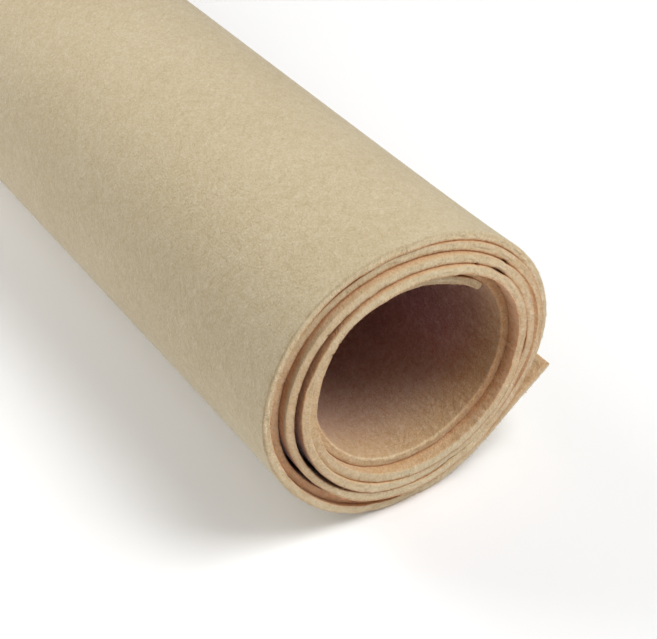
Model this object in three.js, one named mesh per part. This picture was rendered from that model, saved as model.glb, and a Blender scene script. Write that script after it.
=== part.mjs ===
// A roll of fusible interfacing: one thick, soft, felt-like sheet wound into a loose hollow
// roll. Millimetres, +Z up. The roll lies along Y with its shown end at -Y. The origin is
// under the middle of the roll, on the surface that it rests on.
//
// The sheet is one solid. Its section winds anticlockwise, as seen from -Y, from a free inner
// end inside the top of the hollow to a straight loose outer end at the lower right. An angle
// is counted from +X towards +Z about the roll's middle, and goes on past 360 turn by turn.

import * as THREE from "three";

// ---- the sheet, laid flat ----------------------------------------------------------------
const SHEET_THICKNESS = 2.5;
const SHEET_WIDTH = 910; // one yard, less the trim: it becomes the roll's length

// ---- the winding -------------------------------------------------------------------------
const START_ANGLE = 42; // the free inner end
const LEAVE_ANGLE = 2112; // where the sheet leaves the roll, in its sixth turn
const LOOSE_END = 27.5; // straight loose outer end, along the sheet
const STATION_ANGLE = 6; // this far between the section's stations
const FULL_TURN = 360;
const KNOT_ANGLE = 45; // the tables below give a value at each of these

// Radius of the innermost turn's inner face. The rows at 0 and 450 only set the direction
// in which the curve starts and ends.
const CORE = [
  { angle: 0, radius: 30.9 },
  { angle: 45, radius: 31.4 },
  { angle: 90, radius: 30.2 },
  { angle: 135, radius: 31.0 },
  { angle: 180, radius: 30.6 },
  { angle: 225, radius: 29.5 },
  { angle: 270, radius: 30.5 },
  { angle: 315, radius: 31.8 },
  { angle: 360, radius: 33.5 },
  { angle: 405, radius: 34.3 },
  { angle: 450, radius: 33.9 },
];

// The free inner end is straighter than the curve: halfway along, it hangs this far inside it.
const FREE_END_SAG = 0.9;
const FREE_END_ANGLE = 46; // from the inner end to where it joins the curve

// The eight directions from the roll's middle, in the order in which the sheet passes them.
const DIRECTIONS = [
  "right", "upperRight", "top", "upperLeft", "left", "lowerLeft", "bottom", "lowerRight",
];

// Clear gap outside each turn.
const GAPS = [
  { right: 0.4, upperRight: 0.4, top: 1.2, upperLeft: 0.5,
    left: 0.4, lowerLeft: 0.7, bottom: 0.4, lowerRight: 0.6 },
  { right: 0.4, upperRight: 0.4, top: 0.5, upperLeft: 1.3,
    left: 0.8, lowerLeft: 0.4, bottom: 0.8, lowerRight: 0.6 },
  { right: 1.0, upperRight: 0.4, top: 0.4, upperLeft: 1.1,
    left: 1.4, lowerLeft: 0.8, bottom: 0.4, lowerRight: 0.5 },
  { right: 1.5, upperRight: 0.5, top: 0.4, upperLeft: 0.7,
    left: 0.8, lowerLeft: 0.8, bottom: 0.6, lowerRight: 0.4 },
  { right: 0.6, upperRight: 0.4, top: 0.6, upperLeft: 1.4,
    left: 1.1, lowerLeft: 0.4, bottom: 0.8, lowerRight: 0.4 },
];

// How far each turn has slid along the roll, away from the shown end. The sheet's two long
// edges are parallel, so its far edge slides by the same amount.
const SLIDES = [
  { right: 1.5, upperRight: 1.5, top: 2.0, upperLeft: 4.2,
    left: 4.0, lowerLeft: 2.4, bottom: 2.2, lowerRight: 1.7 },
  { right: 1.2, upperRight: 1.2, top: 1.3, upperLeft: 0.5,
    left: -0.7, lowerLeft: -1.2, bottom: -2.0, lowerRight: -3.0 },
  { right: -3.4, upperRight: -4.8, top: -4.2, upperLeft: -2.8,
    left: -2.0, lowerLeft: -2.5, bottom: -2.1, lowerRight: -2.2 },
  { right: -2.9, upperRight: -4.0, top: -2.8, upperLeft: -1.3,
    left: -0.6, lowerLeft: -1.8, bottom: -2.3, lowerRight: -1.7 },
  { right: -1.9, upperRight: -2.1, top: -0.5, upperLeft: 1.6,
    left: 3.2, lowerLeft: 1.7, bottom: 1.3, lowerRight: 0.8 },
  { right: -0.4, upperRight: -0.5, top: -0.5, upperLeft: 0.3,
    left: 0.7, lowerLeft: -0.6, bottom: 0.2, lowerRight: 0.6 },
];

// ---- where it rests ----------------------------------------------------------------------
const FLAT_SPOT = 14; // the outer turn is pressed flat over about this width
const BOTTOM_ANGLE = 5 * FULL_TURN + 270;

const FELT = new THREE.MeshStandardMaterial({ color: 0xd2bf98, roughness: 0.97, metalness: 0 });

const radians = (degrees) => THREE.MathUtils.degToRad(degrees);

// Smooth function of the angle through evenly spaced values, the first one at `first`.
function alongWinding(values, first, spacing) {
  const knots = values.map((value, i) => new THREE.Vector2(first + spacing * i, value));
  const curve = new THREE.SplineCurve(knots);
  const span = spacing * (values.length - 1);
  return (angle) => curve.getPoint(THREE.MathUtils.clamp((angle - first) / span, 0, 1)).y;
}

// All the values of a table, row after row, in the order in which the sheet passes them.
const inWindingOrder = (rows) => rows.flatMap((row) => DIRECTIONS.map((name) => row[name]));

const coreRadius = alongWinding(CORE.map((row) => row.radius), CORE[0].angle, KNOT_ANGLE);
const gapOutside = alongWinding(inWindingOrder(GAPS), 0, KNOT_ANGLE);
const slide = alongWinding(inWindingOrder(SLIDES), 0, KNOT_ANGLE);

// Radius of the sheet's inner face: each turn lies on the one inside it, a gap away.
function innerRadius(angle) {
  if (angle <= START_ANGLE + FULL_TURN) return coreRadius(angle);
  const before = angle - FULL_TURN;
  return innerRadius(before) + SHEET_THICKNESS + gapOutside(before);
}

// How far the free inner end hangs inside the curve at an angle.
function freeEndSag(angle) {
  const share = THREE.MathUtils.clamp((angle - START_ANGLE) / FREE_END_ANGLE, 0, 1);
  return FREE_END_SAG * Math.sin(Math.PI * share) ** 2;
}

// Middle of the sheet's thickness at an angle, as a point of the section (x, z).
function middleAt(angle) {
  const radius = innerRadius(angle) - freeEndSag(angle) + SHEET_THICKNESS / 2;
  return new THREE.Vector2(Math.cos(radians(angle)), Math.sin(radians(angle)))
    .multiplyScalar(radius);
}

// Direction in which the section runs at an angle.
function directionAt(angle) {
  const step = 0.5;
  return middleAt(angle + step).sub(middleAt(angle - step)).normalize();
}

// The section's stations: the sheet's middle, its direction and its slide along the roll.
function windingStations() {
  const stations = [];
  for (let angle = START_ANGLE; angle <= LEAVE_ANGLE; angle += STATION_ANGLE) {
    stations.push({ middle: middleAt(angle), along: directionAt(angle), slide: slide(angle) });
  }
  return stations;
}

// The outermost station, carried straight on to the sheet's outer end.
function looseEndStation(last) {
  const middle = last.middle.clone().addScaledVector(last.along, LOOSE_END);
  return { middle, along: last.along, slide: last.slide };
}

// Height at which the outer turn is cut off to give a flat of the stated width.
function restingHeight() {
  const outside = innerRadius(BOTTOM_ANGLE) + SHEET_THICKNESS;
  return -Math.sqrt(outside ** 2 - (FLAT_SPOT / 2) ** 2);
}

// One ring of the sheet at a station: outer front, inner front, inner back, outer back.
function ringAt(station, floor) {
  const outward = new THREE.Vector2(station.along.y, -station.along.x);
  const outer = station.middle.clone().addScaledVector(outward, SHEET_THICKNESS / 2);
  const inner = station.middle.clone().addScaledVector(outward, -SHEET_THICKNESS / 2);
  const lift = Math.max(0, floor - outer.y);
  const front = station.slide;
  const back = station.slide + SHEET_WIDTH;
  return [
    new THREE.Vector3(outer.x, front, outer.y + lift),
    new THREE.Vector3(inner.x, front, inner.y + lift),
    new THREE.Vector3(inner.x, back, inner.y + lift),
    new THREE.Vector3(outer.x, back, outer.y + lift),
  ];
}

// Closed solid through a row of four-cornered rings, with a cap on each end.
function solidThroughRings(rings) {
  const indices = [];
  const quad = (a, b, c, d) => indices.push(a, b, c, a, c, d);
  for (let i = 0; i + 1 < rings.length; i += 1) {
    const here = 4 * i;
    const next = here + 4;
    for (let corner = 0; corner < 4; corner += 1) {
      const after = (corner + 1) % 4;
      quad(here + corner, next + corner, next + after, here + after);
    }
  }
  const last = 4 * (rings.length - 1);
  quad(0, 1, 2, 3);
  quad(last + 3, last + 2, last + 1, last);
  const geometry = new THREE.BufferGeometry();
  geometry.setFromPoints(rings.flat());
  geometry.setIndex(indices);
  geometry.computeVertexNormals();
  return geometry;
}

function woundSheet() {
  const stations = windingStations();
  stations.push(looseEndStation(stations[stations.length - 1]));
  const floor = restingHeight();
  const geometry = solidThroughRings(stations.map((station) => ringAt(station, floor)));
  geometry.computeBoundingBox();
  const middle = geometry.boundingBox.getCenter(new THREE.Vector3());
  geometry.translate(-middle.x, -middle.y, -geometry.boundingBox.min.z);
  return geometry;
}

const roll = new THREE.Group();
const sheet = new THREE.Mesh(woundSheet(), FELT);
sheet.name = "wound_sheet";
roll.add(sheet);

export default roll;
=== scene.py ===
"""A roll of fusible interfacing: one thick felt-like sheet, wound into a loose hollow roll.

The file is laid out as an add-on and is run as a script. Lengths are metres unless a name
or a comment says millimetres. The roll lies along Y, with its shown end towards -Y.
"""
import math

import bpy
import numpy as np
from bpy.props import FloatProperty, FloatVectorProperty, IntProperty, PointerProperty
from mathutils import Matrix, Vector


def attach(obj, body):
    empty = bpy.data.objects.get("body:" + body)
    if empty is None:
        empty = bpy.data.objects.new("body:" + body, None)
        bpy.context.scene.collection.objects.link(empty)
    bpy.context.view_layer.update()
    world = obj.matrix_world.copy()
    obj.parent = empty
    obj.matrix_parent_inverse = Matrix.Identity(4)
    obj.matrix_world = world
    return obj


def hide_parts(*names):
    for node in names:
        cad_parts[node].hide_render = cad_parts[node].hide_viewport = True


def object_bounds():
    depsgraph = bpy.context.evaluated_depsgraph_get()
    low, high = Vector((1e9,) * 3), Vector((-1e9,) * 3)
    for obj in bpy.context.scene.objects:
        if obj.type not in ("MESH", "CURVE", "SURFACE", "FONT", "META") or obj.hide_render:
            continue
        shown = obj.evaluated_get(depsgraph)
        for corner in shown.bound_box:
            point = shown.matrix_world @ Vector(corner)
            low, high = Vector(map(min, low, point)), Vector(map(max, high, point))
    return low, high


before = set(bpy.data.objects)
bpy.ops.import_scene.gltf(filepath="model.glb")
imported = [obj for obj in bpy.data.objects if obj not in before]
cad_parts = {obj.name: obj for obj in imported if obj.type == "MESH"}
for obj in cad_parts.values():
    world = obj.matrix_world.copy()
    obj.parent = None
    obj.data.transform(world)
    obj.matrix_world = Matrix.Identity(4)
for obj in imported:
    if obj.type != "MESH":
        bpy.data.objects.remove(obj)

bl_info = {
    "name": "Interfacing Roll",
    "version": (1, 0, 0),
    "blender": (4, 5, 0),
    "location": "3D View > Sidebar > Roll",
    "description": "Builds a wound sheet of felt-like fusible interfacing and its studio",
    "category": "Object",
}

MM = 0.001
FULL_TURN = 360
CAD_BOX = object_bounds()

# ---- the winding, as in the solid that the sheet stands for ------------------------------
# An angle is in degrees from +X towards +Z about the roll's middle, and goes on past 360
# turn by turn. The sheet winds anticlockwise as seen from its shown end.
START_ANGLE = 42  # the free inner end
LEAVE_ANGLE = 2112  # where the sheet leaves the roll
BOTTOM_ANGLE = 5 * FULL_TURN + 270  # the bottom of the outer turn
FLAT_SPOT = 14 * MM  # the outer turn is pressed flat over about this width
KNOT_ANGLE = 45  # the tables below give a value at each of these

# Radius of the innermost turn's inner face, in millimetres, every 45 degrees from 0.
CORE = (30.9, 31.4, 30.2, 31.0, 30.6, 29.5, 30.5, 31.8, 33.5, 34.3, 33.9)

# Clear gap outside each turn, in millimetres.
# right, upper right, top, upper left, left, lower left, bottom, lower right
GAPS = (
    (0.4, 0.4, 1.2, 0.5, 0.4, 0.7, 0.4, 0.6),
    (0.4, 0.4, 0.5, 1.3, 0.8, 0.4, 0.8, 0.6),
    (1.0, 0.4, 0.4, 1.1, 1.4, 0.8, 0.4, 0.5),
    (1.5, 0.5, 0.4, 0.7, 0.8, 0.8, 0.6, 0.4),
    (0.6, 0.4, 0.6, 1.4, 1.1, 0.4, 0.8, 0.4),
)

# How far each turn has slid along the roll, away from the shown end, in millimetres, in the
# same directions.
SLIDES = (
    (1.5, 1.5, 2.0, 4.2, 4.0, 2.4, 2.2, 1.7),
    (1.2, 1.2, 1.3, 0.5, -0.7, -1.2, -2.0, -3.0),
    (-3.4, -4.8, -4.2, -2.8, -2.0, -2.5, -2.1, -2.2),
    (-2.9, -4.0, -2.8, -1.3, -0.6, -1.8, -2.3, -1.7),
    (-1.9, -2.1, -0.5, 1.6, 3.2, 1.7, 1.3, 0.8),
    (-0.4, -0.5, -0.5, 0.3, 0.7, -0.6, 0.2, 0.6),
)

# The free inner end is straighter than the curve: halfway along, it hangs this far inside it.
FREE_END_SAG = 0.9 * MM
FREE_END_ANGLE = 46  # from the inner end to where it joins the curve

# Where two turns stand apart by more than a hair: the inner one's angle at the middle of the
# slit, and half of the slit's length in degrees.
SLITS = ((769, 4.5), (783, 1), (1126, 2.2), (930, 26), (1290, 24), (1425, 5), (1010, 4))

# Where the line between two turns hardly shows, in the same way: the painted shade between them is
# left off there.
FAINT = ((540, 48), (1020, 14))

# Where the nap fills a wide gap, in the same way; the painted shade between the two turns spreads
# wider there.
FULL = ((1082, 34),)

# Nicks that the shears left in the shown edge: the angle, and the depth in millimetres.
NICKS = ((504, 0.9), (498, 0.55), (484, 0.35), (477, 0.4), (1216, 0.4), (1243, 0.45), (905, 0.3))

# Stretches of the sheet with painted shade, by the angles at which each one begins, is full,
# eases off and ends: the edge behind the free inner end, in its shadow, and the first turn's edge,
# which lies in shade.
SHADED_BEHIND_FREE_END = (290, 330, 400, 430)
SHADED_FIRST_EDGE = (100, 180, 400, 460)
# Painted light: the loose end's inner face is painted lighter and warmer as it shows.
LIT_LOOSE_FACE = (2088, 2110)  # where the loose end's inner face begins to show, and shows fully

# Distances from the shown long edge, in millimetres, at which the sheet's faces have points:
# close together at the two cut edges and far apart between them.
FACE_POINTS = (
    1.1, 2, 3.2, 5, 8, 13, 22, 38, 62, 95, 140, 200, 270, 350, 440, 540, 640, 730, 810, 865,
    895, 906,
)
STATION_STEP = 1.0 * MM  # between the stations along the sheet
END_ROUNDING = 0.3 * MM  # the two short ends are eased over this length
HAIR_GAP = 0.02 * MM  # left between the naps of two turns that lie close

# A seed for each thing that is drawn at random, so that every run gives the same roll.
SEEDS = {
    "swell": 5, "fray": 6, "out of round": 7, "shown cut": 11, "far cut": 12, "tufts": 13,
    "shown fibres": 21, "far fibres": 22,
}

# The studio.
FLOOR_RADIUS = 6.0
FLOOR_SIDES = 96
WALL_HEIGHT = 1.6
LIT_POINT = Vector((0, -0.44, 0.05))  # near the shown end
SOFTBOX_SIDE = 0.8
SOFTBOX_DISTANCE = 1.3
CAMERA_STAND = Vector((-220.3, -290.8, 295.0)) * MM  # from the middle of the shown end
CAMERA_AZIMUTH = 33.33  # degrees from straight in front of the end, towards its left
CAMERA_ELEVATION = 36.95  # degrees that it looks down by
LENS = 88.68  # millimetres, on a sensor 36 wide


# ---- numbers over the surface ------------------------------------------------------------
def smooth_through(values, first, spacing, at):
    """Uniform Catmull-Rom curve through evenly spaced values, the first one at `first`.

    Between two knots it is the cubic whose slope at each knot is half the difference of
    the knot's neighbours; the end knots are their own neighbours.
    """
    values = np.asarray(values, float).ravel()
    last = len(values) - 1
    place = np.clip((at - first) / spacing, 0, last)
    i = np.minimum(place.astype(int), last - 1)
    w = place - i
    p0 = values[np.maximum(i - 1, 0)]
    p1 = values[i]
    p2 = values[i + 1]
    p3 = values[np.minimum(i + 2, last)]
    slope1 = (p2 - p0) / 2
    slope2 = (p3 - p1) / 2
    cubic = (2 * p1 - 2 * p2 + slope1 + slope2) * w**3
    square = (3 * p2 - 3 * p1 - 2 * slope1 - slope2) * w**2
    return cubic + square + slope1 * w + p1


def soft_noise(u, v, cell_u, cell_v, seed):
    """Smooth noise from -1 to 1: seeded values on a grid of cells, blended by smoothstep."""
    grid = np.random.default_rng(seed).uniform(-1, 1, (257, 257))
    x = np.asarray(u) / cell_u
    y = np.asarray(v) / cell_v
    i = np.floor(x).astype(int)
    j = np.floor(y).astype(int)
    a = x - i
    b = y - j
    a = a * a * (3 - 2 * a)
    b = b * b * (3 - 2 * b)
    i %= 256
    j %= 256
    low = grid[i, j] * (1 - a) + grid[i + 1, j] * a
    high = grid[i, j + 1] * (1 - a) + grid[i + 1, j + 1] * a
    return low * (1 - b) + high * b


def smooth_step(low, high, value):
    """0 up to the low value, 1 from the high one, and 3t^2 - 2t^3 between them."""
    t = np.clip((value - low) / (high - low), 0, 1)
    return t * t * (3 - 2 * t)


def within(stretch, angle):
    """1 on a stretch given by four angles and 0 away from it, with smooth ends."""
    begin, full, ease, end = stretch
    return smooth_step(begin, full, angle) * (1 - smooth_step(ease, end, angle))


def near_to(distance, reach):
    """Falls smoothly from 1 at no distance to nothing, by e for each `reach`."""
    return np.exp(-np.maximum(distance, 0) / reach)


# ---- the sheet's line, in the roll's section ---------------------------------------------
def inner_radius(angle, thickness):
    """Radius of the sheet's inner face: each turn lies on the one inside it, a gap away."""
    turns = np.maximum(0, np.ceil((angle - START_ANGLE) / FULL_TURN - 1)).astype(int)
    radius = smooth_through(CORE, 0, KNOT_ANGLE, angle - FULL_TURN * turns) * MM
    for turn in range(1, turns.max() + 1):
        gap = smooth_through(GAPS, 0, KNOT_ANGLE, angle - FULL_TURN * turn) * MM
        radius = radius + np.where(turns >= turn, thickness + gap, 0)
    return radius


def wound_line(thickness):
    """The sheet's middle line at many angles, as arrays: angle, radius and distance along.

    The point at an angle is the middle of the thickness, half of it outside the inner face.
    """
    angle = np.linspace(START_ANGLE, LEAVE_ANGLE, 24001)
    share = np.clip((angle - START_ANGLE) / FREE_END_ANGLE, 0, 1)
    sag = FREE_END_SAG * np.sin(np.pi * share) ** 2
    radius = inner_radius(angle, thickness) - sag + thickness / 2
    turned = np.radians(angle)
    x = radius * np.cos(turned)
    z = radius * np.sin(turned)
    along = np.concatenate([[0], np.cumsum(np.hypot(np.diff(x), np.diff(z)))])
    return angle, radius, along


def stations(settings):
    """Places along the sheet, from its inner end to its outer end, as a dict of arrays.

    They are a step apart, and closer at both ends, which are rounded, and at the nicks.
    Past the leaving angle the line runs straight on, in the direction that it has there.
    The lift is what the flat spot raises the outer turn by at its bottom.
    """
    angle, radius, along = wound_line(settings.thickness)
    length = along[-1] + settings.loose_end
    rounding = END_ROUNDING * np.array([0, 0.12, 0.45, 1])
    inside = np.arange(rounding[-1] + STATION_STEP, length - rounding[-1], STATION_STEP)
    nicks = np.interp([place for place, _ in NICKS], angle, along)
    close = (nicks[:, None] + np.array([-0.55, -0.25, 0, 0.25, 0.55]) * MM).ravel()
    apart = np.abs(inside[:, None] - close).min(axis=1) > 0.2 * MM
    s = np.sort(np.concatenate([rounding, inside[apart], close, length - rounding]))
    turned = np.interp(s, along, angle)
    reach = np.interp(s, along, radius)
    middle = np.stack([np.cos(np.radians(turned)), np.sin(np.radians(turned))], 1)
    middle *= reach[:, None]
    end = np.radians(angle[-2:])
    last = np.stack([np.cos(end), np.sin(end)], 1) * radius[-2:, None]
    leaving = (last[1] - last[0]) / np.linalg.norm(last[1] - last[0])
    middle += np.maximum(0, s - along[-1])[:, None] * leaving
    tangent = np.gradient(middle, s, axis=0)
    tangent /= np.linalg.norm(tangent, axis=1)[:, None]
    slide = smooth_through(SLIDES, 0, KNOT_ANGLE, turned) * MM
    outward = np.stack([tangent[:, 1], -tangent[:, 0]], 1)
    outside = inner_radius(np.array([BOTTOM_ANGLE]), settings.thickness)[0] + settings.thickness
    floor = -math.sqrt(outside**2 - (FLAT_SPOT / 2) ** 2)
    outer_height = middle[:, 1] + outward[:, 1] * settings.thickness / 2
    return {
        "s": s,
        "length": length,
        "angle": turned,
        "middle": middle,
        "outward": outward,
        "slide": slide,
        "nicks": nicks,
        "floor": floor,
        "lift": np.maximum(0, floor - outer_height),
    }


def half_profile(settings):
    """Half of the sheet's cross cut, from the middle of the shown cut edge over one face.

    Returns three arrays: the distance in from the shown edge, the height over the sheet's
    middle, and the distance round the outline. A cut edge is upright in its middle and
    turns into the face by a quarter circle of the rounding radius.
    """
    half = settings.thickness / 2
    r = settings.rounding
    upright = half - r
    turn = np.radians([0, 30, 60, 90])
    depth = np.concatenate([[0, 0], r * (1 - np.cos(turn))])
    height = np.concatenate([[0.15 * upright, 0.6 * upright], upright + r * np.sin(turn)])
    far_depth = settings.width - depth[[5, 4, 2, 0]]
    far_height = height[[5, 4, 2, 0]]
    face = np.array(FACE_POINTS) * MM
    d = np.concatenate([depth, face, far_depth])
    h = np.concatenate([height, np.full(len(face), half), far_height])
    round_it = height[0] + np.concatenate([[0], np.cumsum(np.hypot(np.diff(d), np.diff(h)))])
    return d, h, round_it


def snipped(s, seed):
    """A hand-cut edge, in metres: slow wander, and a small step where each snip ends."""
    random = np.random.default_rng(seed)
    ends = np.cumsum(random.uniform(9, 34, 90)) * MM
    steps = random.normal(0, 0.2, 90) * MM
    run = np.zeros_like(s)
    for end, step in zip(ends, steps):
        past = s - end
        run += step * near_to(past, 7 * MM) * np.clip(past / (0.5 * MM) + 1, 0, 1)
    return run + 0.13 * MM * soft_noise(s, 0 * s, 9 * MM, 1, seed + 1)


def nicked(line):
    """Depth of the nicks in the shown edge at each station: a short wedge at each one."""
    away = np.abs(line["s"][:, None] - line["nicks"]) / (0.5 * MM)
    depth = np.array([deep for _, deep in NICKS]) * MM
    return (depth * np.clip(1 - away, 0, 1)).sum(axis=1)


def neighbours(line):
    """What lies against the outer face and against the inner face, at each station.

    For each face a dict: `there`, whether a turn lies there, from 0 to 1; `slit`, whether
    the gap to it is a slit; `slide`, how far that turn has slid along the roll; `faint`, how
    faint the line between the two is; `full`, whether the nap fills a wide gap; and `nap`,
    how far the nap reaches into the gap.
    """
    angle = line["angle"]
    found = []
    outer_turns = (1, 0, LEAVE_ANGLE - FULL_TURN)
    inner_turns = (-1, START_ANGLE + FULL_TURN, LEAVE_ANGLE)
    for way, first, last in (outer_turns, inner_turns):
        there = within((first - 4, first, last - 8, last), angle)
        place = angle if way > 0 else angle - FULL_TURN
        gap = smooth_through(GAPS, 0, KNOT_ANGLE, place) * MM
        slit = marked(SLITS, place)
        full = marked(FULL, place)
        found.append({
            "there": there,
            "slit": slit,
            "slide": smooth_through(SLIDES, 0, KNOT_ANGLE, angle + FULL_TURN * way) * MM,
            "faint": marked(FAINT, place),
            "full": full,
            "nap": pressed(there, gap, slit, full),
        })
    return found


def marked(places, angle):
    """1 at the places of a table and 0 away from them, with soft ends."""
    return np.minimum(sum(np.exp(-(((angle - middle) / half) ** 4)) for middle, half in places), 1)


def pressed(there, gap, slit, full):
    """How far the nap of a face reaches into a narrow gap: it leaves a hair's breadth."""
    close = np.maximum(1 - smooth_step(0.85 * MM, 1.15 * MM, gap), full)
    reach = np.clip((gap - HAIR_GAP) / 2, 0, (0.4 + 0.35 * full) * MM) * close
    return there * (reach * (1 - slit) - 0.08 * MM * slit)


def ring_places(settings):
    """Places round the sheet's cross cut, as a dict of arrays with one row.

    They go over the outer face from the shown edge to the far one, and back over the inner
    face: the distance in from the shown edge, the side (1 on the outer half and -1 on the
    inner one), the height over the sheet's middle, the share of the half thickness that it
    is, the distance round the outline, and the distances from the far edge and the nearer
    edge.
    """
    depth, height, round_it = half_profile(settings)
    ones = np.ones(len(depth))
    ring = {
        "d": np.concatenate([depth, depth[::-1]])[None, :],
        "side": np.concatenate([ones, -ones])[None, :],
        "height": np.concatenate([height, height[::-1]])[None, :],
        "v": np.concatenate([round_it, -round_it[::-1]])[None, :],
    }
    ring["share"] = ring["side"] * ring["height"] / (settings.thickness / 2)
    ring["far"] = settings.width - ring["d"]
    ring["edge"] = np.minimum(ring["d"], ring["far"])
    return ring


def facing(ring, outer, inner, name):
    """A value of the turn that lies against each face, at every station and place round."""
    return np.where(ring["side"] > 0, outer[name][:, None], inner[name][:, None])


def wound_surface(settings):
    """The sheet as a surface of two parameters: along it, and round its cross cut.

    A point is the middle line, plus its outward direction times the half thickness at that
    place, plus the place across the sheet along Y. The thickness swells and thins a little,
    most at the cut edges, and the cut edges wander. Behind each end the turns draw in, so
    that the roll opens a little there, as a rolled cut does.
    Returns a dict: points (stations, around, 3), the line and the ring that they stand on,
    the outer and the inner neighbours, and the origin, which the points are moved by.
    """
    line = stations(settings)
    ring = ring_places(settings)
    outer, inner = neighbours(line)
    half = settings.thickness / 2
    s = line["s"][:, None]
    d, side, h, edge = ring["d"], ring["side"], ring["height"], ring["edge"]
    turned = np.radians(line["angle"])[:, None]

    end = np.minimum(s, line["length"] - s)
    r = settings.rounding
    eased = half - r + np.sqrt(r**2 - (r - np.clip(end, 0, r)) ** 2)
    swell = 0.02 * soft_noise(s, ring["v"], 8 * MM, 11 * MM, SEEDS["swell"])
    frayed = 0.09 * soft_noise(s, ring["v"], 1.9 * MM, 2.6 * MM, SEEDS["fray"])
    swell = swell * near_to(edge, 30 * MM) + frayed * near_to(edge, 1.3 * MM)
    nap = facing(ring, outer, inner, "nap")
    reach = side * (h * (eased / half) * (1 + swell) + nap * h / half)

    upper = 0.5 + 0.5 * np.sin(turned)
    drawn_in = settings.flare * (1 - near_to(edge, 14 * MM)) * upper
    ripple = np.cos(2 * turned + 9 * d) + np.cos(3 * turned - 13 * d + 1) - 1
    ripple = ripple + soft_noise(turned, d, 0.6, 130 * MM, SEEDS["out of round"])
    out_of_round = 0.14 * MM * ripple * (1 - near_to(edge, 60 * MM)) * upper
    reach = reach - drawn_in + out_of_round

    x = line["middle"][:, :1] + line["outward"][:, :1] * reach
    z = line["middle"][:, 1:] + line["outward"][:, 1:] * reach
    z = np.maximum(z + line["lift"][:, None], line["floor"])

    wander = snipped(s, SEEDS["shown cut"]) * near_to(d, 3 * MM)
    wander = wander - snipped(s, SEEDS["far cut"]) * near_to(ring["far"], 3 * MM)
    nicks = nicked(line)[:, None] * near_to(d, 0.8 * MM) * smooth_step(0, 1, -ring["share"])
    tuft = soft_noise(s, side * h, 1.5 * MM, 1.1 * MM, SEEDS["tufts"]) * near_to(edge, 0.5 * MM)
    closed = facing(ring, outer, inner, "there") * (1 - facing(ring, outer, inner, "slit"))
    filled = 0.88 * closed * np.minimum(edge, r) * near_to(edge - r, 0.7 * MM)
    ahead = (0.14 * MM * tuft - filled) * np.where(d < ring["far"], 1, -1)
    y = line["slide"][:, None] + d + wander + nicks + ahead

    origin = resting_place(line, half)
    points = np.stack([x, y, z], 2) + np.array(origin)
    return {
        "points": points, "line": line, "ring": ring, "outer": outer, "inner": inner,
        "origin": origin,
    }


def resting_place(line, half):
    """Where the middle of the winding lies, so that the plain sheet fills the solid's box."""
    faces = [line["middle"] + side * line["outward"] * half for side in (1, -1)]
    across = np.concatenate([face[:, 0] for face in faces])
    low, high = CAD_BOX
    return Vector((
        (low.x + high.x) / 2 - (across.min() + across.max()) / 2,
        low.y - line["slide"].min(),
        low.z - line["floor"],
    ))


def painted_gap_shade(roll, width, on_face):
    """Painted shade between two turns: how far in each place lies, from 0 in the open to 1 deep
    down.

    It follows how far a place lies behind the edge of the turn that faces it, and starts
    further out on low outer faces and on inner faces at the right. A place low on the left
    of the outer side goes darkest.
    """
    line, ring = roll["line"], roll["ring"]
    outer, inner = roll["outer"], roll["inner"]
    side = ring["side"]
    turned = np.radians(line["angle"])[:, None]
    low = smooth_step(0.95, 0, np.sin(turned))
    right = np.maximum(np.cos(turned), 0)
    start = np.where(side > 0, -1.3 - 2.9 * low, -0.5 - 3.5 * right) * MM
    full = np.where(side > 0, 0.5 - 1.3 * low, 0.5) * MM
    between = facing(ring, outer, inner, "there") * (1 - facing(ring, outer, inner, "faint"))
    covered = covered_by(roll, width)
    gap_shade = between * smooth_step(start, full, covered) * on_face
    # Painted shadow on the edge behind the free inner end.
    gap_shade = np.maximum(gap_shade, 0.45 * within(SHADED_BEHIND_FREE_END, line["angle"])[:, None])
    lowest = 0.3 + 0.7 * smooth_step(0.25, -0.6, np.sin(turned))
    lowest = lowest * smooth_step(0, -0.5, np.cos(turned))
    return gap_shade * (0.6 + 0.4 * lowest * (side > 0))


def covered_by(roll, width):
    """How far each place lies behind the nearer cut edge of the turn that faces it."""
    y = roll["points"][:, :, 1] - roll["origin"].y
    near_slide = facing(roll["ring"], roll["outer"], roll["inner"], "slide")
    return np.minimum(y - near_slide, near_slide + width - y)


def recessed(roll, rounding, on_face):
    """Painted light on cut edges that lie behind both neighbours, and on faces bared beside a
    recessed turn.

    Returns two arrays: the first leaves out the inner faces that a recessed turn bares on
    the right, where light comes through the felt, and the second adds them.
    """
    line, ring = roll["line"], roll["ring"]
    outer, inner = roll["outer"], roll["inner"]
    edge, inward = ring["edge"], ring["side"] < 0
    turned = np.radians(line["angle"])[:, None]
    behind = line["slide"] - np.maximum(outer["slide"], inner["slide"])
    groove_light = outer["there"] * inner["there"] * smooth_step(0, 1.5 * MM, behind)
    groove_light = groove_light[:, None] * near_to(edge - rounding, 1.5 * MM)

    two_turns = 2 * FULL_TURN
    past = smooth_through(SLIDES, 0, KNOT_ANGLE, line["angle"] - two_turns) * MM
    behind = inner["slide"] - np.maximum(line["slide"], past)
    beside = smooth_step(0, 1.5 * MM, behind) * (line["angle"] > START_ANGLE + two_turns)
    beside = beside[:, None] * inward * near_to(edge, 4 * MM) * on_face
    groove_light = np.maximum(groove_light, 0.5 * beside)
    groove_light = groove_light * np.clip(0.4 - 0.6 * np.sin(turned), 0, 1)

    bared = inner["there"] * smooth_step(0.5 * MM, 3 * MM, inner["slide"] - line["slide"])
    bared = bared[:, None] * inward * near_to(edge, 5 * MM)
    bared = bared * smooth_step(0.5, 0.95, ring["share"] ** 2)
    bared = bared * smooth_step(0.2, 0.85, np.cos(turned)) * smooth_step(-0.95, 0, np.sin(turned))
    return groove_light, np.maximum(groove_light, 0.9 * bared)


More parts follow.
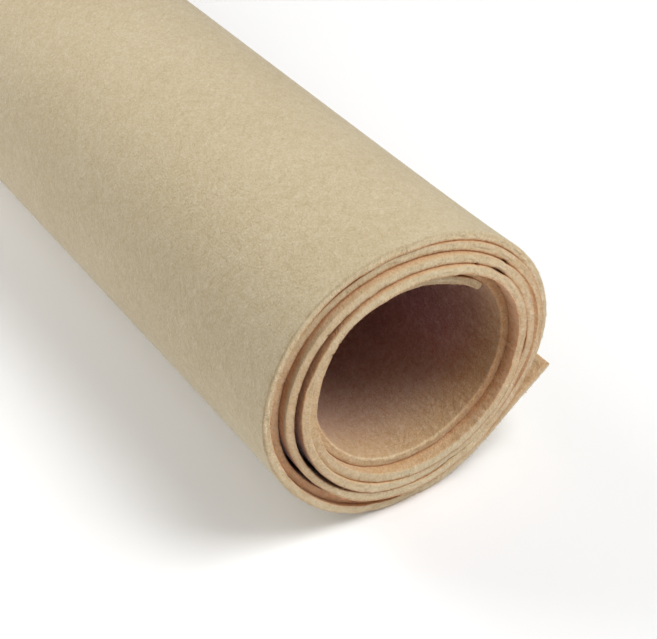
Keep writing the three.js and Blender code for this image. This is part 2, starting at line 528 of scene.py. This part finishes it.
def tints_by_place(roll, settings):
    """What the felt's colours are mixed by at every point, as arrays by attribute name.

    inner_side is 1 on the inner face; cut_edge_and_lit_face, on a cut, and as painted light on the
    loose end's inner face; border_shade, painted shade where a cut meets a face;
    warm_light_and_shade, painted warm shade on side edges, round the first turn and near a turn's
    edge, and painted light on the loose end's inner face;
    groove_light, painted light on a recessed edge; gap_shade, painted shade between two turns;
    shade, painted shade on the inner face at its upper right and painted light at its lower left;
    deep, painted shade far inside, but less so at the bottom.
    """
    line, ring = roll["line"], roll["ring"]
    outer, inner = roll["outer"], roll["inner"]
    side, share, edge = ring["side"], ring["share"], ring["edge"]
    angle = line["angle"]
    turned = np.radians(angle)[:, None]
    bright = 1 - facing(ring, outer, inner, "faint")

    # Where the nap fills a wide gap, the painted gap shade reaches further over the face.
    full = facing(ring, outer, inner, "full") * np.where(side > 0, 0.2, 0.6)
    on_face = smooth_step(0.65, 1, np.abs(share) + full)
    lit_edge, groove_light = recessed(roll, settings.rounding, on_face)
    # Painted gap shade, lessened where painted light falls on a recessed edge.
    gap_shade = painted_gap_shade(roll, settings.width, on_face) * (1 - 0.85 * lit_edge)

    # Painted warm shade: on a cut edge, at both sides of the roll and round the first turn; on a
    # face, near the edge of the turn that faces it. Painted warm light all over the loose end's
    # inner side.
    first = within(SHADED_FIRST_EDGE, angle)
    aside = 0.45 * np.cos(turned) ** 2 * (0.3 + 0.7 * outer["there"][:, None])
    warm_light_and_shade = aside + 0.55 * first[:, None] * (0.6 + 0.4 * np.cos(turned))
    covered = covered_by(roll, settings.width)
    near_edge = facing(ring, outer, inner, "there") * bright
    near_edge = near_edge * smooth_step(-4.5 * MM, -0.8 * MM, covered)
    near_edge = near_edge * np.where(side > 0, 0.5, 0.12)
    on_face = smooth_step(0.85, 1, np.abs(share))
    # Painted light on the loose end's inner face.
    loose = smooth_step(*LIT_LOOSE_FACE, angle)[:, None] * (share < 0)
    warm_light_and_shade = np.maximum(warm_light_and_shade * (1 - on_face) + near_edge * on_face, 0.62 * loose)

    # The cut edge's own colour stops where it turns into a face. On the outer turn it gives way to
    # the darker outer face colour, most of all at its top: painted shade over its rounded rim. The
    # border is painted shade, strongest on the side that faces down.
    end = np.minimum(line["s"], line["length"] - line["s"])[:, None]
    round_it = np.abs(ring["v"])
    from_edge = np.minimum(round_it, round_it.max() - round_it) - settings.thickness / 2
    from_cut = np.minimum(from_edge, end)
    rim_shade = (1 - outer["there"])[:, None] * smooth_step(0.1, 0.9, share)
    rim_shade = rim_shade * (0.6 + 0.3 * np.sin(turned))
    cut = (1 - np.clip(from_cut / (0.8 * MM), 0, 1)) * (1 - rim_shade)
    down = 0.5 - 0.5 * side * np.sin(turned)
    border_shade = smooth_step(0.08, 0.85, share**2) * (0.1 + 0.8 * down) * bright

    # Painted shade on the inner face, darkest at its upper right, and painted light opposite it,
    # at its lower left.
    lit = 0.8 * np.cos(turned) + 0.6 * np.sin(turned)
    shade = smooth_step(0.4, 1.05, lit) - 0.4 * smooth_step(0.5, 1, -lit)
    bottom = smooth_step(-0.2, -0.95, np.sin(turned))
    return {
        "inner_side": np.tile((1 - share) / 2, (len(angle), 1)),
        # The cut colour, also as painted light on the loose end's inner face.
        "cut_edge_and_lit_face": np.maximum(cut, 0.95 * loose),
        "border_shade": cut * border_shade,
        "gap_shade": gap_shade,
        "warm_light_and_shade": warm_light_and_shade,
        "groove_light": groove_light,
        "shade": shade * smooth_step(-7 * MM, 25 * MM, edge) * (share < 0),
        # Painted shade far inside the hollow, less at its lit bottom.
        "deep": smooth_step(0, 30 * MM, from_edge) * (1 - 0.75 * bottom),
    }


def cut_edge_fibres(roll, settings, count, seed, far):
    """Loose fibres that stand out of one cut edge, as tapering three-sided spikes.

    Each one grows from a seeded place: a distance along the sheet, and a height over its
    middle, most often near a face. It leaves along Y, spread to both sides, and its line is
    root + length * (t * direction + t^2 * bend) for t from 0 to 1.
    Returns vertices, faces, and a tone and a share of painted gap shade for each vertex.
    """
    line, outer, inner = roll["line"], roll["outer"], roll["inner"]
    random = np.random.default_rng(seed)
    half = settings.thickness / 2
    rounding = settings.rounding
    s = random.uniform(0, line["length"], count)
    height = random.uniform(-1, 1, count)
    height = np.sign(height) * np.abs(height) ** 0.6

    def at(values):
        """A station's value, read at each fibre."""
        return np.interp(s, line["s"], values)

    def nearest(name):
        """A value of the turn that faces each fibre."""
        return np.where(height > 0, at(outer[name]), at(inner[name]))

    middle = np.stack([at(line["middle"][:, 0]), at(line["middle"][:, 1] + line["lift"])], 1)
    outward = np.stack([at(line["outward"][:, 0]), at(line["outward"][:, 1])], 1)
    along = np.stack([-outward[:, 1], outward[:, 0]], 1)
    section = middle + outward * (height * (half + nearest("nap")))[:, None]
    over = np.clip((np.abs(height) * half - (half - rounding)) / rounding, 0, 1)
    inset = rounding * (1 - np.sqrt(1 - over**2))
    front = at(line["slide"]) + snipped(s, SEEDS["shown cut"]) + inset
    back = at(line["slide"]) + settings.width - snipped(s, SEEDS["far cut"]) - inset
    root = np.stack([section[:, 0], back if far else front, section[:, 1]], 1)

    def spread(out, sideways, ahead):
        """Vectors from their parts out of the outer face, along the sheet and out of the cut."""
        flat = outward * out[:, None] + along * sideways[:, None]
        return np.stack([flat[:, 0], ahead if far else -ahead, flat[:, 1]], 1)

    lean = random.normal(0, 0.55, count) + 0.5 * height * over
    direction = spread(lean, random.normal(0, 0.6, count), np.full(count, 0.8))
    direction /= np.linalg.norm(direction, axis=1)[:, None]
    bend = spread(*random.normal(0, 0.45, (3, count)))
    length = (0.26 + 0.6 * random.uniform(0, 1, count) ** 2) * MM
    width = random.uniform(0.03, 0.05, count) * MM

    t = np.array([0, 0.5, 1])[None, :, None]
    path = direction[:, None] * t + bend[:, None] * t**2
    path = root[:, None] + path * length[:, None, None]
    first = np.cross(direction, [0, 0, 1.0]) + [1e-6, 0, 0]
    first /= np.linalg.norm(first, axis=1)[:, None]
    second = np.cross(direction, first)
    turn = np.radians([0, 120, 240])[None, :, None]
    ring = first[:, None] * np.cos(turn) + second[:, None] * np.sin(turn)
    ring = ring * width[:, None, None]
    vertices = np.concatenate(
        [path[:, :1] + ring, path[:, 1:2] + 0.75 * ring, path[:, 2:]], axis=1
    )
    vertices = vertices + np.array(roll["origin"])
    vertices[..., 2] = np.maximum(vertices[..., 2], 0)

    base = 7 * np.arange(count)[:, None, None]
    triangles = base + np.array([
        (0, 2, 1), (0, 1, 4), (0, 4, 3), (1, 2, 5), (1, 5, 4), (2, 0, 3), (2, 3, 5),
        (3, 4, 6), (4, 5, 6), (5, 3, 6),
    ])
    tone = np.repeat(random.uniform(0.8, 1.2, count), 7)
    # Painted shade: a fibre beside another turn's face goes browner, most near the face.
    beside = [
        at(other["there"] * smooth_step(-1.8 * MM, 0.8 * MM, line["slide"] - other["slide"]))
        for other in (outer, inner)
    ]
    gap = np.where(height > 0, *beside)
    gap_shade = np.repeat(gap * np.abs(height) ** 3, 7)
    return vertices.reshape(-1, 3), triangles.reshape(-1, 3), tone, gap_shade


# ---- meshes ------------------------------------------------------------------------------
def put_mesh(name, vertices, faces, material):
    """A smooth-shaded mesh object at the origin, its place in its vertices."""
    mesh = bpy.data.meshes.new(name)
    mesh.from_pydata(vertices, [], faces)
    mesh.validate()
    mesh.polygons.foreach_set("use_smooth", np.ones(len(mesh.polygons), bool))
    mesh.materials.append(material)
    thing = bpy.data.objects.new(name, mesh)
    bpy.context.scene.collection.objects.link(thing)
    return thing


def set_attribute(thing, name, values):
    """A number for each vertex, which the materials read by its name."""
    attribute = thing.data.attributes.new(name, "FLOAT", "POINT")
    attribute.data.foreach_set("value", np.asarray(values, np.float32).ravel())


def closed_sheet_mesh(name, roll, settings, material):
    """The grid of points as a closed mesh, with the sheet's own UV map.

    Quads join each station's ring to the next. At the two ends, quads join a ring's outer
    half to its inner half. The UV map holds metres along the sheet and metres round its
    outline, negative on the inner face, so that the two faces differ.
    """
    points, line = roll["points"], roll["line"]
    v, share = roll["ring"]["v"][0], roll["ring"]["share"][0]
    count, around, _ = points.shape
    index = np.arange(count * around).reshape(count, around)
    here, after = index[:-1], np.roll(index[:-1], -1, axis=1)
    far, far_after = index[1:], np.roll(index[1:], -1, axis=1)
    walls = np.stack([here, after, far_after, far], 2).reshape(-1, 4)
    half = around // 2
    j = np.arange(half - 1)
    mirror = around - 1 - j
    first = np.stack([index[0, j], index[0, mirror], index[0, mirror - 1], index[0, j + 1]], 1)
    last = np.stack([index[-1, j], index[-1, j + 1], index[-1, mirror - 1], index[-1, mirror]], 1)
    faces = np.concatenate([walls, first, last])
    thing = put_mesh(name, points.reshape(-1, 3).tolist(), faces.tolist(), material)

    s = np.repeat(line["s"][:, None], around, 1)
    u_corner = s.ravel()[faces]
    v_corner = np.tile(v, count)[faces]
    seam = np.zeros(len(faces), bool)
    seam[: len(walls)] = np.tile(np.arange(around) == half - 1, count - 1)
    v_corner[seam] = np.abs(v_corner[seam])
    inner_corner = np.tile(share < 0, count)[faces]
    cap = np.arange(len(faces)) >= len(walls)
    u_corner[cap] += np.where(inner_corner[cap], settings.thickness, 0)
    v_corner[cap] = np.abs(v_corner[cap])
    layer = thing.data.uv_layers.new(name="sheet")
    layer.data.foreach_set("uv", np.stack([u_corner, v_corner], 2).astype(np.float32).ravel())
    return thing


# ---- shader nodes ------------------------------------------------------------------------
class Shader:
    """One material's node tree. Every node is made by node()."""

    def __init__(self, name):
        self.material = bpy.data.materials.new(name)
        self.material.use_nodes = True
        self.tree = self.material.node_tree
        self.tree.nodes.clear()

    def node(self, kind, settings=None, inputs=None):
        """A node of a type, with its settings, and its sockets' values or links by name."""
        made = self.tree.nodes.new(kind)
        for name, value in (settings or {}).items():
            setattr(made, name, value)
        for name, value in (inputs or {}).items():
            socket = made.inputs[name]
            if isinstance(value, Number):
                value = value.socket
            if isinstance(value, bpy.types.NodeSocket):
                self.tree.links.new(value, socket)
            else:
                socket.default_value = value
        return made

    def number(self, kind, output, settings=None, inputs=None):
        """The same, as a number to calculate with."""
        return Number(self, self.node(kind, settings, inputs).outputs[output])

    def attribute(self, name):
        """A number that the mesh holds at each vertex."""
        return self.number("ShaderNodeAttribute", "Fac", {"attribute_name": name})

    def mixed(self, factor, first, second):
        """Colour between two colours, by a number from 0 to 1."""
        settings = {"data_type": "RGBA", "blend_type": "MIX", "clamp_factor": True}
        inputs = {0: factor, 6: first, 7: second}
        return self.node("ShaderNodeMix", settings, inputs).outputs[2]

    def scaled(self, colour, factor):
        """A colour times a number."""
        inputs = {0: colour, "Scale": factor}
        settings = {"operation": "SCALE"}
        return self.node("ShaderNodeVectorMath", settings, inputs).outputs[0]


class Number:
    """A number that varies over the surface. Arithmetic on it adds Math nodes."""

    def __init__(self, shader, socket):
        self.shader = shader
        self.socket = socket

    def _math(self, operation, first, second):
        """A Math node's result."""
        inputs = {0: first, 1: second}
        return self.shader.number("ShaderNodeMath", 0, {"operation": operation}, inputs)

    def __add__(self, other):
        return self._math("ADD", self, other)

    def __radd__(self, other):
        return self._math("ADD", other, self)

    def __sub__(self, other):
        return self._math("SUBTRACT", self, other)

    def __rsub__(self, other):
        return self._math("SUBTRACT", other, self)

    def __mul__(self, other):
        return self._math("MULTIPLY", self, other)

    def __rmul__(self, other):
        return self._math("MULTIPLY", other, self)

    def between(self, low, high):
        """0 at the low value, 1 at the high one, smoothly."""
        settings = {"interpolation_type": "SMOOTHSTEP"}
        inputs = {"Value": self, "From Min": low, "From Max": high}
        return self.shader.number("ShaderNodeMapRange", "Result", settings, inputs)


def felt_material(settings):
    """Needled felt: matted fibres with soft dimples, mottled in tone, matt all over."""
    shader = Shader("felt")
    uv = shader.node("ShaderNodeUVMap", {"uv_map": "sheet"}).outputs["UV"]

    def pattern(size, stretch=1.0, turn=0.0, detail=2.0, rough=0.5, warp=0.0):
        """Noise from 0 to 1 with cells of a size in millimetres, longer along a direction.

        The direction is in degrees from along the sheet towards across it.
        """
        scale = (size * MM * stretch, size * MM, 1)
        inputs = {"Vector": uv, "Rotation": (0, 0, math.radians(turn)), "Scale": scale}
        place = shader.node("ShaderNodeMapping", {"vector_type": "TEXTURE"}, inputs).outputs[0]
        inputs = {
            "Vector": place, "Scale": 1.0, "Detail": detail, "Roughness": rough,
            "Distortion": warp,
        }
        settings = {"noise_dimensions": "2D"}
        return shader.number("ShaderNodeTexNoise", "Fac", settings, inputs)

    clouds = pattern(26, stretch=1.3, detail=2)
    mottle = pattern(3.2, stretch=1.3, turn=135, detail=2)
    nap = pattern(1.05, stretch=1.6, turn=130, detail=2, rough=0.6, warp=0.5)
    grain = pattern(0.5, stretch=1.5, turn=115, detail=1)
    creases = pattern(28, stretch=0.14, detail=2, warp=0.4)

    inner = shader.attribute("inner_side")
    shade = shader.attribute("shade")
    gap_shade = shader.attribute("gap_shade")
    # Painted light and shade are mixed in below: shade deep in the hollow and at the inner face's
    # upper right, light at its lower left.
    base = shader.mixed(
        inner.between(0.3, 0.7), (*settings.outer_colour, 1), (*settings.inner_colour, 1)
    )
    # Painted shade deep in the hollow.
    base = shader.mixed(inner * shader.attribute("deep"), base, (*settings.deep_shade_colour, 1))
    base = shader.mixed(shade * 0.8, base, (*settings.shade_colour, 1))
    base = shader.scaled(base, 1.0 - shade * 0.4)
    # Then the cut's own colour, painted warm shade at borders and corners, painted light on
    # recessed edges, and painted shade between turns.
    for amount, colour in (
        (shader.attribute("cut_edge_and_lit_face"), settings.cut_colour),
        (shader.attribute("warm_light_and_shade"), settings.warm_shade_colour),
        (shader.attribute("border_shade"), settings.warm_shade_colour),
        (shader.attribute("groove_light"), settings.groove_light_colour),
        # Painted shade between turns, deeper where a gap stands open.
        (gap_shade.between(0.0, 0.6), settings.gap_shade_colour),
        (gap_shade.between(0.6, 1.0), settings.open_gap_shade_colour),
    ):
        base = shader.mixed(amount, base, (*colour, 1))
    mottled = (clouds - 0.5) * 0.4 + (mottle - 0.5) * 0.6 + (nap - 0.5) + (grain - 0.5) * 0.9
    depth = settings.mottle * (inner * 0.4 + 1.0)
    inputs = {"Color": base, "Gamma": 1.0 - mottled * depth}
    colour = shader.node("ShaderNodeGamma", {}, inputs).outputs[0]

    height = mottle * 0.5 + nap + grain * 0.5 + creases * inner * 2.5
    bump = shader.node(
        "ShaderNodeBump", {},
        {"Strength": 1.0, "Distance": settings.nap_depth, "Height": height},
    )
    surface = shader.node(
        "ShaderNodeBsdfPrincipled", {},
        {
            "Base Color": colour, "Roughness": 0.97, "Specular IOR Level": 0.15,
            "Sheen Weight": 0.2, "Sheen Roughness": 0.5, "Normal": bump.outputs[0],
        },
    )
    shader.node("ShaderNodeOutputMaterial", {}, {"Surface": surface.outputs[0]})
    return shader.material


def fibre_material(settings):
    """Loose fibres of the felt, each with a tone of its own, and browner in the gaps by painted
    shade.
    """
    shader = Shader("felt_fibres")
    cut, gap = (*settings.cut_colour, 1), (*settings.gap_shade_colour, 1)
    # Painted shade: fibres in the gaps take the gap shade colour.
    base = shader.mixed(shader.attribute("gap_shade"), cut, gap)
    base = shader.scaled(base, shader.attribute("tone"))
    surface = shader.node(
        "ShaderNodeBsdfPrincipled", {},
        {"Base Color": base, "Roughness": 0.9, "Specular IOR Level": 0.2},
    )
    shader.node("ShaderNodeOutputMaterial", {}, {"Surface": surface.outputs[0]})
    return shader.material


def plain_material(name, colour, roughness, glow=0.0):
    """An even matt finish, for the studio's floor and wall, which can glow."""
    shader = Shader(name)
    surface = shader.node(
        "ShaderNodeBsdfPrincipled", {},
        {
            "Base Color": (*colour, 1), "Roughness": roughness, "Specular IOR Level": 0.1,
            "Emission Color": (1, 1, 1, 1), "Emission Strength": glow,
        },
    )
    shader.node("ShaderNodeOutputMaterial", {}, {"Surface": surface.outputs[0]})
    return shader.material


# ---- settings ----------------------------------------------------------------------------
class SheetSettings(bpy.types.PropertyGroup):
    """Sizes and colours of the wound sheet."""

    thickness: FloatProperty(
        name="Thickness", description="Thickness of the felt", default=2.5 * MM, unit="LENGTH",
        precision=4,
    )
    width: FloatProperty(
        name="Width", description="Width of the cut, which is the roll's length",
        default=0.91, unit="LENGTH",
    )
    loose_end: FloatProperty(
        name="Loose end", description="Straight end that stands off the roll",
        default=27.5 * MM, unit="LENGTH", precision=4,
    )
    rounding: FloatProperty(
        name="Rounding", description="Radius at the corners of a cut edge",
        default=0.6 * MM, unit="LENGTH", precision=4,
    )
    flare: FloatProperty(
        name="Flare", description="How far the turns open at the ends of the roll",
        default=0.7 * MM, unit="LENGTH", precision=4,
    )
    nap_depth: FloatProperty(
        name="Nap depth", description="Depth of the matted fibres", default=0.25 * MM,
        unit="LENGTH", precision=5,
    )
    front_fibres: IntProperty(
        name="Fibres, shown end", description="Loose fibres along the shown cut edge",
        default=12500, min=1,
    )
    back_fibres: IntProperty(
        name="Fibres, far end", description="Loose fibres along the far cut edge",
        default=6500, min=1,
    )
    mottle: FloatProperty(
        name="Mottle", description="How much the tone varies over a few millimetres",
        default=0.42, min=0, max=1,
    )
    outer_colour: FloatVectorProperty(
        name="Outer face", description="Colour of the outer face", subtype="COLOR", size=3,
        default=(0.525, 0.43, 0.273),
    )
    inner_colour: FloatVectorProperty(
        name="Inner face", description="Colour of the inner face", subtype="COLOR", size=3,
        default=(0.57, 0.38, 0.205),
    )
    # Painted shade: the inner face far inside the hollow, where little light reaches.
    deep_shade_colour: FloatVectorProperty(
        name="Inner face, deep", description="Colour of the inner face far inside the hollow",
        subtype="COLOR", size=3, default=(0.56, 0.29, 0.40),
    )
    # Painted shade on the inner face at its upper right.
    shade_colour: FloatVectorProperty(
        name="Inner face, upper", description="Colour of the inner face at its upper right",
        subtype="COLOR", size=3, default=(0.18, 0.08, 0.105),
    )
    cut_colour: FloatVectorProperty(
        name="Cut edge", description="Colour of the cut edge", subtype="COLOR", size=3,
        default=(0.705, 0.57, 0.365),
    )
    # Painted warm shade where a cut edge meets a face and at corners; also warm light on the loose
    # end's inner face.
    warm_shade_colour: FloatVectorProperty(
        name="Edge borders", description="Colour where a cut edge meets a face",
        subtype="COLOR", size=3, default=(0.60, 0.345, 0.17),
    )
    # Painted light on a recessed cut edge and on faces bared beside it.
    groove_light_colour: FloatVectorProperty(
        name="Recessed edges", description="Colour of a cut edge that lies behind its neighbours",
        subtype="COLOR", size=3, default=(0.90, 0.52, 0.29),
    )
    # Painted shade on the nap between two turns.
    gap_shade_colour: FloatVectorProperty(
        name="Gaps", description="Colour of the nap between two turns", subtype="COLOR", size=3,
        default=(0.48, 0.235, 0.10),
    )
    # Painted deeper shade in a gap that stands open.
    open_gap_shade_colour: FloatVectorProperty(
        name="Open gaps", description="Colour of the nap in a gap that stands open",
        subtype="COLOR", size=3, default=(0.26, 0.115, 0.09),
    )


class StudioSettings(bpy.types.PropertyGroup):
    """The floor, the lights and the camera."""

    floor_colour: FloatVectorProperty(
        name="Floor", description="Colour of the pale floor", subtype="COLOR", size=3,
        default=(0.9, 0.9, 0.9),
    )
    key: FloatProperty(
        name="Key light", description="Power of the high softbox at the front right",
        default=15.4, unit="POWER",
    )
    back: FloatProperty(
        name="Back light", description="Power of the low softbox behind the roll, on the left",
        default=12.3, unit="POWER",
    )
    front: FloatProperty(
        name="Front light", description="Power of the high softbox in front of the shown end",
        default=3.7, unit="POWER",
    )
    floor: FloatProperty(
        name="Floor glow", description="Glow of the floor", default=0.08, min=0,
    )
    wall: FloatProperty(
        name="Wall", description="Glow of the low pale wall round the floor", default=0.12,
        min=0,
    )
    ambient: FloatProperty(
        name="Ambient", description="Strength of the even light from all round",
        default=0.01, min=0,
    )


# ---- operators ---------------------------------------------------------------------------
class ROLL_OT_fibres(bpy.types.Operator):
    """Grow the loose fibres along the two cut edges"""

    bl_idname = "roll.fibres"
    bl_label = "Edge fibres"

    def execute(self, context):
        settings = context.scene.roll_sheet
        roll = wound_surface(settings)
        parts = [
            cut_edge_fibres(roll, settings, count, seed, far)
            for count, seed, far in (
                (settings.front_fibres, SEEDS["shown fibres"], False),
                (settings.back_fibres, SEEDS["far fibres"], True),
            )
        ]
        vertices = np.concatenate([part[0] for part in parts])
        faces = np.concatenate([parts[0][1], parts[1][1] + len(parts[0][0])])
        fibres = put_mesh(
            "edge_fibres", vertices.tolist(), faces.tolist(), fibre_material(settings)
        )
        set_attribute(fibres, "tone", np.concatenate([part[2] for part in parts]))
        set_attribute(fibres, "gap_shade", np.concatenate([part[3] for part in parts]))
        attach(fibres, "root")
        return {"FINISHED"}


class ROLL_OT_sheet(bpy.types.Operator):
    """Build the wound sheet of felt"""

    bl_idname = "roll.sheet"
    bl_label = "Wound sheet"

    def execute(self, context):
        settings = context.scene.roll_sheet
        roll = wound_surface(settings)
        sheet = closed_sheet_mesh("felt_sheet", roll, settings, felt_material(settings))
        for name, values in tints_by_place(roll, settings).items():
            set_attribute(sheet, name, values)
        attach(sheet, "root")
        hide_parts("wound_sheet")
        return {"FINISHED"}


class ROLL_OT_studio(bpy.types.Operator):
    """Lay the pale floor, and set up the lights and the camera"""

    bl_idname = "roll.studio"
    bl_label = "Studio"

    def execute(self, context):
        settings = context.scene.roll_studio
        sheet = context.scene.roll_sheet
        lay_floor(settings)
        light_room(settings)
        place_camera(resting_place(stations(sheet), sheet.thickness / 2))
        context.scene.view_settings.view_transform = "Standard"
        return {"FINISHED"}


def lay_floor(settings):
    """A wide round floor under the roll, and a low pale wall round it."""
    turn = np.linspace(0, 2 * np.pi, FLOOR_SIDES, endpoint=False)
    rim = np.stack([np.cos(turn), np.sin(turn), 0 * turn], 1) * FLOOR_RADIUS
    finish = plain_material("floor", settings.floor_colour, 0.9, settings.floor)
    floor = put_mesh("floor", rim.tolist(), [tuple(range(FLOOR_SIDES))], finish)
    here = np.arange(FLOOR_SIDES)
    after = np.roll(here, -1)
    panels = np.stack([after, here, here + FLOOR_SIDES, after + FLOOR_SIDES], 1)
    corners = np.concatenate([rim, rim + [0, 0, WALL_HEIGHT]])
    finish = plain_material("wall", settings.floor_colour, 0.9, settings.wall)
    wall = put_mesh("wall", corners.tolist(), panels.tolist(), finish)


def aim(thing, target):
    """Turns a light so that it looks at a point, its own up side upwards."""
    away = thing.location - target
    thing.rotation_mode = "QUATERNION"
    thing.rotation_quaternion = away.to_track_quat("Z", "Y")


def softbox(name, bearing, height, power):
    """A square area light that faces the shown end.

    Its bearing is in degrees from straight in front of the end towards the camera's side,
    and its height is in degrees over the horizon.
    """
    bearing = math.radians(bearing)
    height = math.radians(height)
    level = math.cos(height)
    way = Vector((-math.sin(bearing) * level, -math.cos(bearing) * level, math.sin(height)))
    lamp = bpy.data.lights.new(name, "AREA")
    lamp.shape = "SQUARE"
    lamp.size = SOFTBOX_SIDE
    lamp.energy = power
    thing = bpy.data.objects.new(name, lamp)
    thing.location = LIT_POINT + way * SOFTBOX_DISTANCE
    bpy.context.scene.collection.objects.link(thing)
    aim(thing, LIT_POINT)


def light_room(settings):
    """Three softboxes, and a little even light from all round."""
    world = bpy.data.worlds.new("room")
    world.use_nodes = True
    ground = world.node_tree.nodes["Background"]
    ground.inputs["Color"].default_value = (1, 1, 1, 1)
    ground.inputs["Strength"].default_value = settings.ambient
    bpy.context.scene.world = world
    softbox("key", -50, 60, settings.key)
    softbox("back", 150, 25, settings.back)
    softbox("front", -20, 60, settings.front)


def place_camera(shown_end):
    """A long lens on the shown end, from its left and above, looking along the roll."""
    azimuth = math.radians(CAMERA_AZIMUTH)
    elevation = math.radians(CAMERA_ELEVATION)
    level = math.cos(elevation)
    back = Vector((-math.sin(azimuth) * level, -math.cos(azimuth) * level, math.sin(elevation)))
    right = Vector((0, 0, 1)).cross(back).normalized()
    up = back.cross(right)
    lens = bpy.data.cameras.new("camera")
    lens.lens = LENS
    lens.sensor_width = 36
    lens.clip_start = 0.02
    lens.clip_end = 50
    camera = bpy.data.objects.new("camera", lens)
    camera.matrix_world = Matrix.Translation(shown_end + CAMERA_STAND) @ Matrix(
        (right, up, back)
    ).transposed().to_4x4()
    bpy.context.scene.collection.objects.link(camera)
    bpy.context.scene.camera = camera


class ROLL_PT_panel(bpy.types.Panel):
    """Lists the settings and the pieces to build."""

    bl_idname = "ROLL_PT_panel"
    bl_label = "Interfacing Roll"
    bl_space_type = "VIEW_3D"
    bl_region_type = "UI"
    bl_category = "Roll"

    def draw(self, context):
        """Every setting, and a button for each piece."""
        for group in (context.scene.roll_sheet, context.scene.roll_studio):
            column = self.layout.column()
            for name in group.bl_rna.properties.keys():
                if name not in ("rna_type", "name"):
                    column.prop(group, name)
        for piece in PIECES:
            self.layout.operator(piece.bl_idname)


PIECES = (ROLL_OT_fibres, ROLL_OT_sheet, ROLL_OT_studio)
SETTINGS = {"roll_sheet": SheetSettings, "roll_studio": StudioSettings}


def register():
    """Adds the classes, and the settings to the scene."""
    for group in (*SETTINGS.values(), *PIECES, ROLL_PT_panel):
        bpy.utils.register_class(group)
    for name, group in SETTINGS.items():
        setattr(bpy.types.Scene, name, PointerProperty(type=group))


def unregister():
    """Takes them away again."""
    for name in SETTINGS:
        delattr(bpy.types.Scene, name)
    for group in (ROLL_PT_panel, *reversed(PIECES), *SETTINGS.values()):
        bpy.utils.unregister_class(group)


def main():
    """Builds the pieces and the stage."""
    register()
    bpy.ops.roll.fibres()
    bpy.ops.roll.sheet()
    bpy.ops.roll.studio()


if __name__ == "__main__":
    main()
